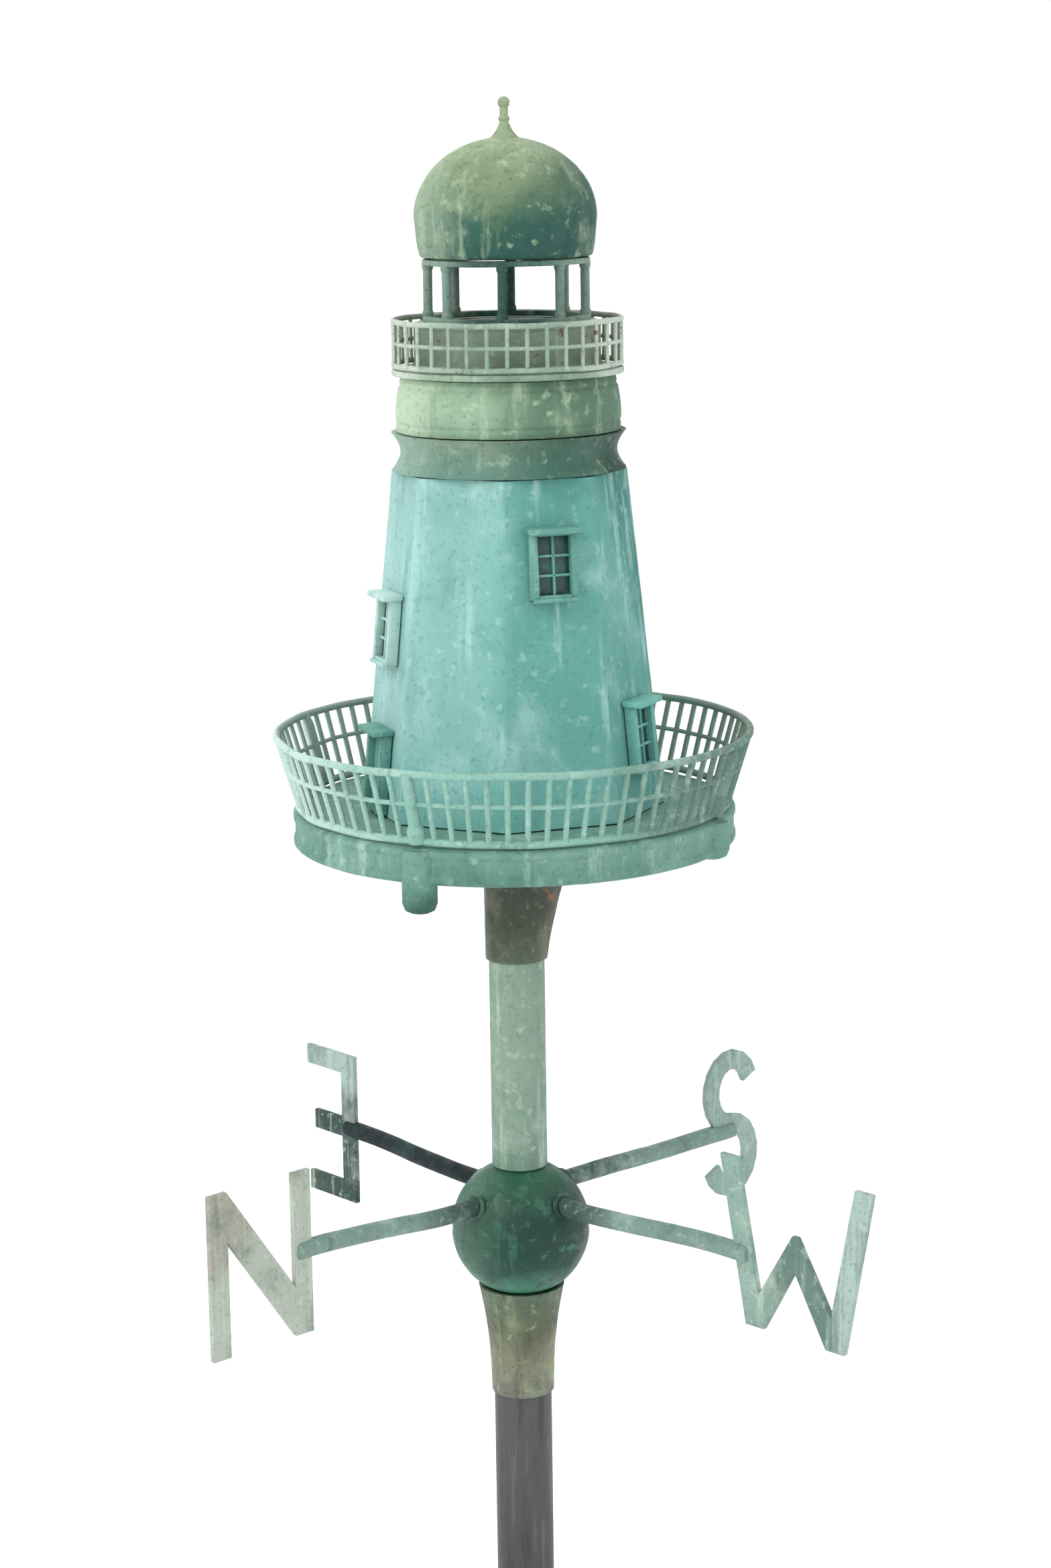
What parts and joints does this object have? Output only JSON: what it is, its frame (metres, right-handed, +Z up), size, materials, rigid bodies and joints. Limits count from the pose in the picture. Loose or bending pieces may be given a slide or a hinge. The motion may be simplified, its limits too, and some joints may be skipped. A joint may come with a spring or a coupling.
{
  "type": "weathervane",
  "caption": "Copper lighthouse weathervane: the lighthouse turns on a steel rod above a ball with four compass arms carrying N, E, S and W letters.",
  "frame": {"origin": "centre of the mounting rod's flat foot", "axes": "+Z up along the rod, -Y towards the side that the picture shows, +X to its right"},
  "size_m": [0.2453, 0.231, 0.6574],
  "materials": {
    "grey_steel": "dull grey steel",
    "brown_copper": "brown oxidised copper, satin",
    "dark_patina": "dark green patina, satin",
    "arm_patina": "grey green patina, matt",
    "letter_patina": "pale verdigris, matt",
    "pale_verdigris": "pale green verdigris, matt",
    "platform_verdigris": "green verdigris, matt",
    "railing_verdigris": "green verdigris with bare brown spots",
    "tower_verdigris": "turquoise verdigris, matt",
    "window_patina": "dark green patina, matt",
    "collar_patina": "green patina, satin",
    "gallery_patina": "olive brown patina, satin",
    "lantern_patina": "grey green patina, satin",
    "roof_verdigris": "olive green verdigris, darker at the rim"
  },
  "bodies": {
    "mast": {"mounting_rod": "grey_steel", "lower_cup": "brown_copper", "hub_ball": "dark_patina", "arm_n": "arm_patina", "letter_n": "letter_patina", "arm_e": "arm_patina", "letter_e": "letter_patina", "arm_s": "arm_patina", "letter_s": "letter_patina", "arm_w": "arm_patina", "letter_w": "letter_patina"},
    "vane": {"sleeve_tube": "pale_verdigris", "upper_cup": "brown_copper", "platform": "platform_verdigris", "platform_railing": "railing_verdigris", "tower": "tower_verdigris", "window_front": "window_patina", "window_left": "window_patina", "window_right": "window_patina", "tower_door": "window_patina", "tower_collar": "collar_patina", "cornice": "pale_verdigris", "gallery_deck": "gallery_patina", "lantern_drum": "gallery_patina", "gallery_railing": "gallery_patina", "lantern_frame": "lantern_patina", "roof": "roof_verdigris", "finial": "roof_verdigris"}
  },
  "joints": [
    {"name": "figure_turn", "type": "hinge", "parent": "mast", "child": "vane", "pos_m": [0, 0, 0.2374], "axis": [0, 0, 1], "continuous": true}
  ]
}
